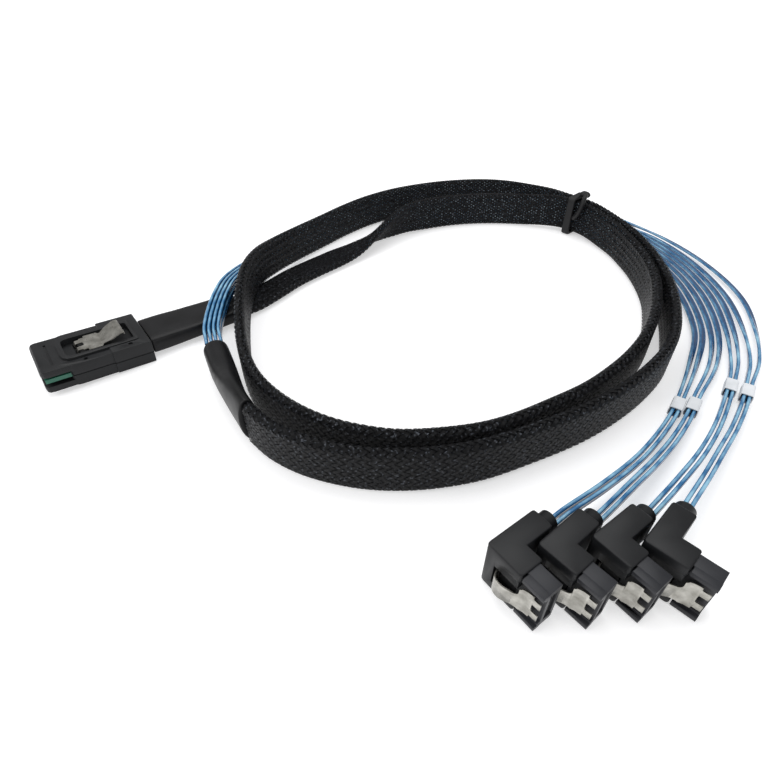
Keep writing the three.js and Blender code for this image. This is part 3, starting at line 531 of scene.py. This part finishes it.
def braid_skin():
    """Ribbons wound each way, two over and two under, round the flat core."""
    r = SLEEVE_THICK / 2 - CROWN
    straight = SLEEVE_WIDTH - SLEEVE_THICK
    around = 2 * straight + math.tau * r
    length = sleeve_line(ROUGH_STATIONS)[2][-1]
    lay = LAY_RATIO * around
    steps = int(length / lay * CARRIERS * CROSSING_SAMPLES)
    places, ways, at, side, rise, spread = sleeve_line(steps + 1)
    turns = at / lay
    table = np.array([sum(flat_point(d, r, straight, around), ())
                      for d in np.linspace(0, around, TABLE_SIZE, endpoint=False)])
    opening = np.clip((places[:, 1] - OPEN_FROM) / (OPEN_TO - OPEN_FROM), 0, 1)
    half_ribbon = (RIBBON / 2 * (1 - OPEN_SHARE * opening))[:, None]
    vertices, faces, uvs = [], [], []
    for way in (1, -1):
        for carrier in range(CARRIERS):
            turn = (carrier / CARRIERS + way * turns) % 1
            crossing = 2 * CARRIERS * turn
            wave = np.clip(WAVE_GAIN * np.cos(math.pi / 2 * (crossing - 0.5)), -1, 1)
            found = table[(turn * TABLE_SIZE).astype(int) % TABLE_SIZE]
            out = side * found[:, 2:3] + rise * found[:, 3:4]
            centre = (places + side * found[:, 0:1] + rise * found[:, 1:2] * spread[:, None]
                      + out * (way * wave * CROWN)[:, None])
            run = np.gradient(centre, axis=0)
            run /= np.linalg.norm(run, axis=1)[:, None]
            across = np.cross(out, run)
            across /= np.linalg.norm(across, axis=1)[:, None]
            first = len(vertices)
            pair = np.stack([centre - across * half_ribbon, centre + across * half_ribbon], 1)
            vertices.extend(pair.reshape(-1, 3))
            for i in range(len(centre) - 1):
                a = first + 2 * i
                faces.append((a, a + 2, a + 3, a + 1))
                uvs += [(0, at[i]), (0, at[i + 1]), (1, at[i + 1]), (1, at[i])]
    return make_object("braided_skin", vertices, faces, uvs)


core, core_places, core_at = sleeve_core()
dress(core, core_blue)
skin = braid_skin()
dress(skin, filament)
for face in skin.data.polygons:
    face.use_smooth = True
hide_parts("braided_sleeve")


# The eight wires

def shifted(points, i, sideways, up):
    """Point i of a route, moved across the route and up."""
    (ax, ay, _), (bx, by, _) = points[max(i - 1, 0)], points[min(i + 1, len(points) - 1)]
    length = math.hypot(bx - ax, by - ay)
    x, y, z = points[i]
    return (x - (by - ay) / length * sideways, y + (bx - ax) / length * sideways, z + up)


def nub_face(place):
    """Where a drive plug's wires end, in the shared frame."""
    x, y, turn = place
    c, s = math.cos(math.radians(turn)), math.sin(math.radians(turn))
    return (x + NUB_FACE[0] * c - NUB_FACE[1] * s, y + NUB_FACE[0] * s + NUB_FACE[1] * c,
            NUB_FACE[2])


def wire_points(number):
    """The route of one wire: in the bundle, through the fan, then in its pair to the plug."""
    plug, outer = divmod(number, 2)
    sideways = (plug - 1.5) * WIRE_PITCH
    up = (outer - 0.5) * LAYER_PITCH
    points = [shifted(BUNDLE_ROUTE, i, sideways, up) for i in range(len(BUNDLE_ROUTE))]
    for (x, y, z), (ox, oy), pitch, extra, lift in FAN_STATIONS:
        reach = (number - 3.5) * pitch + (extra if number == 7 else 0)
        points.append((x + ox * reach, y + oy * reach, z + lift * up))
    routes = PAIR_ROUTES[plug]
    points += routes["outer" if outer else "inner"]
    pair = [*routes["pair"], nub_face(DRIVE_PLACES[plug])]
    points += [shifted(pair, i, (outer - 0.5) * WIRE_PITCH, 0) for i in range(len(pair))]
    return points


def wire_outline():
    """A flat ribbon with a bead along each edge, as two cores side by side have."""
    x, y = WIRE_THICK / 2, WIRE_WIDTH / 2
    quarter = [(0.82 * x, 0.0), (0.86 * x, 0.3 * y), (x, 0.56 * y), (0.86 * x, 0.82 * y),
               (0.5 * x, 0.96 * y), (0.0, y)]
    right = quarter + [(-a, b) for a, b in quarter[-2::-1]]
    left = [(a, -b) for a, b in right[::-1]][1:-1]
    return np.array(right + left)


WIRE_STATIONS = 220
WIRE_NAMES = [f"wire_{i}{side}" for i in (1, 2, 3, 4) for side in "ab"]
for number, name in enumerate(WIRE_NAMES):
    places, ways, at = even_stations(wire_points(number), WIRE_STATIONS)
    side, rise = cross_frames(ways, read_table(WIRE_TURN, at / at[-1]))
    wire = swept_tube(f"{name}_ribbon", places, side, rise, wire_outline(), None, at)
    dress(wire, jacket)
    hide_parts(name)


# Rigid pieces, from merged copies of the CAD nodes' meshes

MERGE_DISTANCE = 0.00001
FLAT_ANGLE = math.radians(0.8)
SMOOTH_ANGLE = math.radians(40)
NEAR = 1e-5


def only(thing):
    """Selects this object alone and makes it active."""
    bpy.ops.object.select_all(action="DESELECT")
    thing.select_set(True)
    bpy.context.view_layer.objects.active = thing


def apply_modifier(thing, kind, **settings):
    """Adds one modifier with its settings and applies it."""
    only(thing)
    made = thing.modifiers.new(kind.lower(), kind)
    for key, value in settings.items():
        setattr(made, key, value)
    bpy.ops.object.modifier_apply(modifier=made.name)


def merged_copy(name, new_name):
    """The node's mesh with its doubles merged and its flat faces made whole."""
    made = bpy.data.objects.new(new_name, frame["nodes"][name].data.copy())
    bpy.context.collection.objects.link(made)
    only(made)
    bpy.ops.object.mode_set(mode="EDIT")
    bpy.ops.mesh.select_all(action="SELECT")
    bpy.ops.mesh.remove_doubles(threshold=MERGE_DISTANCE)
    bpy.ops.mesh.dissolve_limited(angle_limit=FLAT_ANGLE)
    bpy.ops.object.mode_set(mode="OBJECT")
    return made


def rounded_edges(thing, width, segments=2, sharp=32):
    """Rounds the edges that are sharper than an angle in degrees, and smooths the rest."""
    apply_modifier(thing, "BEVEL", width=width, segments=segments, limit_method="ANGLE",
                   angle_limit=math.radians(sharp), use_clamp_overlap=True)
    only(thing)
    bpy.ops.object.shade_smooth_by_angle(angle=SMOOTH_ANGLE)


def box_tool(place, low, high, round_end=0.0):
    """A box in a plug's own axes; its lower front edge can be rounded off."""
    middle = [(a + b) / 2 for a, b in zip(low, high)]
    bpy.ops.object.select_all(action="DESELECT")
    bpy.ops.mesh.primitive_cube_add(size=1, location=middle)
    box = bpy.context.active_object
    box.scale = [b - a for a, b in zip(low, high)]
    bpy.ops.object.transform_apply(location=True, rotation=True, scale=True)
    if round_end:
        bpy.ops.object.mode_set(mode="EDIT")
        edit = bmesh.from_edit_mesh(box.data)
        for edge in edit.edges:
            ends = [v.co for v in edge.verts]
            edge.select = all(abs(c.x - high[0]) < NEAR and abs(c.z - low[2]) < NEAR
                              for c in ends)
        bmesh.update_edit_mesh(box.data)
        bpy.ops.mesh.select_mode(type="EDGE")
        bpy.ops.mesh.bevel(offset=round_end, segments=4)
        bpy.ops.object.mode_set(mode="OBJECT")
    box.matrix_world = place
    bpy.ops.object.transform_apply(location=True, rotation=True, scale=True)
    return box


def use_tool(thing, tool, operation):
    """Joins the tool to the piece or cuts it away, and removes it."""
    apply_modifier(thing, "BOOLEAN", object=tool, operation=operation, solver="EXACT")
    bpy.data.objects.remove(tool, do_unlink=True)


def plug_place(place):
    """From a drive plug's own axes to the shared frame."""
    x, y, turn = place
    return Matrix.Translation((x, y, 0)) @ Matrix.Rotation(math.radians(turn), 4, "Z")


def host_place():
    """From the host plug's own axes to the shared frame."""
    tilt = math.radians(HOST_NOSE_UP)
    spot = Matrix.Translation((*HOST_NOSE, HOST_REACH * math.sin(tilt)))
    return (spot @ Matrix.Rotation(math.radians(HOST_TURN), 4, "Z")
            @ Matrix.Rotation(tilt, 4, "Y"))


def move_by(thing, matrix):
    """Moves the mesh itself, so that the object stays at the origin, unturned."""
    only(thing)
    thing.matrix_world = matrix
    bpy.ops.object.transform_apply(location=True, rotation=True, scale=True)


# Drive plugs: x towards the drive, y along the cable, z up. The latch is cut away above its bow
# as far as the shoulder of its front plate, then drawn in towards its root.
BOW_CUT = ((0.002, -0.005, 0.0089), (0.0121, 0.004, 0.014))
BOW_CUT_ROUND = 0.0009
LATCH_ROOT = 0.0039
LATCH_SHARE = (0.905, 0.86, 1)
LATCH_INWARD = 0.0001
LATCH_EDGE = 0.00006
LATCH_SHARP = 50
WINDOW_FILL = ((0.0030, 0.00002, 0.0096), (0.0104, 0.0026, 0.0123))
BOOT_EDGE = 0.00022


def drive_latch(number, place):
    """The bow is a narrower strip than the front plate, which lies between the block's rails."""
    latch = merged_copy(f"drive_plug_{number}_latch", f"drive_plug_{number}_steel")
    move_by(latch, plug_place(place).inverted())
    use_tool(latch, box_tool(Matrix(), *BOW_CUT, BOW_CUT_ROUND), "DIFFERENCE")
    shift = (LATCH_ROOT * (1 - LATCH_SHARE[0]), LATCH_INWARD, 0)
    move_by(latch, Matrix.Translation(shift) @ Matrix.Diagonal((*LATCH_SHARE, 1)))
    move_by(latch, plug_place(place))
    rounded_edges(latch, LATCH_EDGE, 1, LATCH_SHARP)
    dress(latch, steel, f"drive_latch_{number}")
    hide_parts(f"drive_plug_{number}_latch")


def drive_boot(number, place):
    """The window is only as high as the strip that comes out of it."""
    boot = merged_copy(f"drive_plug_{number}_boot", f"drive_plug_{number}_elbow")
    use_tool(boot, box_tool(plug_place(place), *WINDOW_FILL), "UNION")
    rounded_edges(boot, BOOT_EDGE)
    dress(boot, housing_plastic)
    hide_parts(f"drive_plug_{number}_boot")


BLOCK_SPAN = (0.0110, 0.01695)
RAIL_FACE = 0.0001
RAIL_BACK = 0.0022
RAIL_LEVELS = [(0.00045, 0.0018), (0.0132, 0.01455)]
BLOCK_EDGE = 0.0002


def drive_block(number, place):
    """The block with a rail along its top and its bottom, which the latch lies between."""
    block = merged_copy(f"drive_plug_{number}_block", f"drive_plug_{number}_tongue")
    for low, high in RAIL_LEVELS:
        rail = box_tool(plug_place(place), (BLOCK_SPAN[0], RAIL_FACE, low),
                        (BLOCK_SPAN[1], RAIL_BACK, high))
        use_tool(block, rail, "UNION")
    rounded_edges(block, BLOCK_EDGE)
    dress(block, block_plastic)
    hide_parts(f"drive_plug_{number}_block")


# Paddle card, in the host plug's own axes
CARD_SIZE = (0.0195, 0.0188, 0.0015)
CARD_MIDDLE = (0.01045, 0, 0.00405)
CARD_EDGE = 0.00008
PADS = 18
PAD_PITCH = 0.0008
PAD_SIZE = (0.0042, 0.0005, 0.00004)
PAD_SETBACK = 0.0006
BOARD, BARE_EDGE, PAD = range(3)


def card_box(place, low, high):
    """A box with the card's three materials."""
    box = box_tool(place, low, high)
    for material in (card_resin, card_edge, gold):
        box.data.materials.append(material)
    return box


def contact_pad(place, front, side, i):
    """Pad number i on the upper or lower face of the card."""
    length, width, thick = PAD_SIZE
    y = (i - (PADS - 1) / 2) * PAD_PITCH
    z = CARD_MIDDLE[2] + side * (CARD_SIZE[2] + thick) / 2
    pad = card_box(place, (front, y - width / 2, z - thick / 2),
                   (front + length, y + width / 2, z + thick / 2))
    for face in pad.data.polygons:
        face.material_index = PAD
    return pad


def paddle_card():
    """A green board with a bare resin edge and a row of gold pads on each face."""
    place = host_place()
    low = [m - c / 2 for m, c in zip(CARD_MIDDLE, CARD_SIZE)]
    high = [m + c / 2 for m, c in zip(CARD_MIDDLE, CARD_SIZE)]
    card = card_box(place, low, high)
    card.name = "paddle_card"
    turn_back = place.inverted().to_3x3()
    for face in card.data.polygons:
        face.material_index = BARE_EDGE if (turn_back @ face.normal).x < -0.9 else BOARD
    pads = [contact_pad(place, low[0] + PAD_SETBACK, side, i) for side in (-1, 1)
            for i in range(PADS)]
    only(card)
    for pad in pads:
        pad.select_set(True)
    bpy.ops.object.join()
    rounded_edges(card, CARD_EDGE, 1)
    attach(card, "cable")
    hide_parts("host_plug_paddle_card")


def moulded(name, new_name, width):
    """A moulded shell with softly rounded edges."""
    made = merged_copy(name, new_name)
    rounded_edges(made, width, 3)
    dress(made, housing_plastic)
    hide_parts(name)


UPPER_EDGE = 0.00028
LOWER_EDGE = 0.0003
TUBE_EDGE = 0.0005
TUBE_SHARP = math.radians(70)
TIE_VOXEL = 0.00025
TIE_GROWTH = 0.0003


def shrunk_tube(name, new_name):
    """Heat-shrink with softly rolled ends."""
    tube = merged_copy(name, new_name)
    apply_modifier(tube, "BEVEL", width=TUBE_EDGE, segments=2, limit_method="ANGLE",
                   angle_limit=TUBE_SHARP, use_clamp_overlap=True)
    apply_modifier(tube, "SUBSURF", levels=2, render_levels=2)
    bpy.ops.object.shade_smooth()
    dress(tube, shrink_tube)
    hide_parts(name)


def soft_tie():
    """The tie as a plump, soft band with its twisted end."""
    tie = merged_copy("coil_tie", "twisted_tie")
    apply_modifier(tie, "REMESH", mode="VOXEL", voxel_size=TIE_VOXEL)
    apply_modifier(tie, "DISPLACE", strength=TIE_GROWTH, mid_level=0)
    apply_modifier(tie, "SMOOTH", factor=0.5, iterations=6)
    bpy.ops.object.shade_smooth()
    dress(tie, tie_rubber)
    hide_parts("coil_tie")


soft_tie()
shrunk_tube("host_plug_heat_shrink", "host_plug_shrink_tube")
shrunk_tube("breakout_heat_shrink", "breakout_shrink_tube")
moulded("host_plug_upper_shell", "host_plug_top", UPPER_EDGE)
moulded("host_plug_lower_shell", "host_plug_base", LOWER_EDGE)
paddle_card()
for number, place in enumerate(DRIVE_PLACES, 1):
    drive_boot(number, place)
    drive_block(number, place)
    drive_latch(number, place)

for name, thing in frame["nodes"].items():
    if name == "host_plug_latch":
        dress(thing, steel)
    elif name.endswith("contacts"):
        dress(thing, wafer_plastic)
    elif "label" in name:
        dress(thing, label_film)


# Floor and light

FLOOR_SIZE = 6
FLOOR_LEVEL = -0.0001
PAINT = (0.72, 0.72, 0.73, 1)
# The floor's own glow, seen by the camera and in reflections, grows from the coil outwards
GLOW_FROM, GLOW_TO = 0.2, 0.45
GLOW_NEAR, GLOW_FAR = 0.48, 1.2
SKY_LIGHT, SKY_SEEN = 0.38, 1.0


def white_floor():
    material = bpy.data.materials.new("white_floor")
    material.use_nodes = True
    tree = material.node_tree
    tree.nodes.clear()
    out = node(tree, "ShaderNodeOutputMaterial")
    paint = node(tree, "ShaderNodeBsdfDiffuse", {"Color": PAINT})
    coords = node(tree, "ShaderNodeTexCoord").outputs["Object"]
    away = node(tree, "ShaderNodeVectorMath", {0: coords}, operation="LENGTH")
    glow = node(tree, "ShaderNodeMapRange", {"Value": away.outputs["Value"],
                                             "From Min": GLOW_FROM, "From Max": GLOW_TO,
                                             "To Min": GLOW_NEAR, "To Max": GLOW_FAR})
    lifted = node(tree, "ShaderNodeEmission", {"Color": (1, 1, 1, 1),
                                               "Strength": glow.outputs["Result"]})
    both = node(tree, "ShaderNodeAddShader", {0: paint.outputs[0], 1: lifted.outputs[0]})
    path = node(tree, "ShaderNodeLightPath")
    seen = node(tree, "ShaderNodeMath", {0: path.outputs["Is Camera Ray"],
                                         1: path.outputs["Is Glossy Ray"]}, operation="MAXIMUM")
    either = node(tree, "ShaderNodeMath", {0: seen.outputs[0],
                                           1: path.outputs["Is Transmission Ray"]},
                  operation="MAXIMUM")
    mix = node(tree, "ShaderNodeMixShader", {0: either.outputs[0], 1: paint.outputs[0],
                                             2: both.outputs[0]})
    tree.links.new(mix.outputs[0], out.inputs["Surface"])
    return material


bpy.ops.mesh.primitive_plane_add(size=FLOOR_SIZE, location=(0, 0, FLOOR_LEVEL))
floor = bpy.context.active_object
floor.name = "floor"
floor.data.materials.append(white_floor())

world = bpy.data.worlds.new("studio")
world.use_nodes = True
bpy.context.scene.world = world
tree = world.node_tree
background = tree.nodes["Background"]
background.inputs["Color"].default_value = (1, 1, 1, 1)
path = node(tree, "ShaderNodeLightPath")
strength = node(tree, "ShaderNodeMapRange", {"Value": path.outputs["Is Camera Ray"],
                                             "To Min": SKY_LIGHT, "To Max": SKY_SEEN})
tree.links.new(strength.outputs["Result"], background.inputs["Strength"])


def lamp(name, place, size, watts):
    """A rectangular softbox, turned to the middle of the coil."""
    light = bpy.data.lights.new(name, "AREA")
    light.shape = "RECTANGLE"
    light.size, light.size_y = size
    light.energy = watts
    made = bpy.data.objects.new(name, light)
    bpy.context.collection.objects.link(made)
    made.location = place
    made.rotation_euler = (-Vector(place)).to_track_quat("-Z", "Y").to_euler()


lamp("overhead_softbox", (0.0, 0.25, 0.75), (0.9, 0.6), 4.5)
lamp("left_softbox", (-0.7, -0.25, 0.5), (0.5, 0.5), 3.0)
lamp("front_fill", (0.35, -0.8, 0.5), (0.6, 0.4), 2.0)

bpy.context.scene.view_settings.view_transform = "Standard"
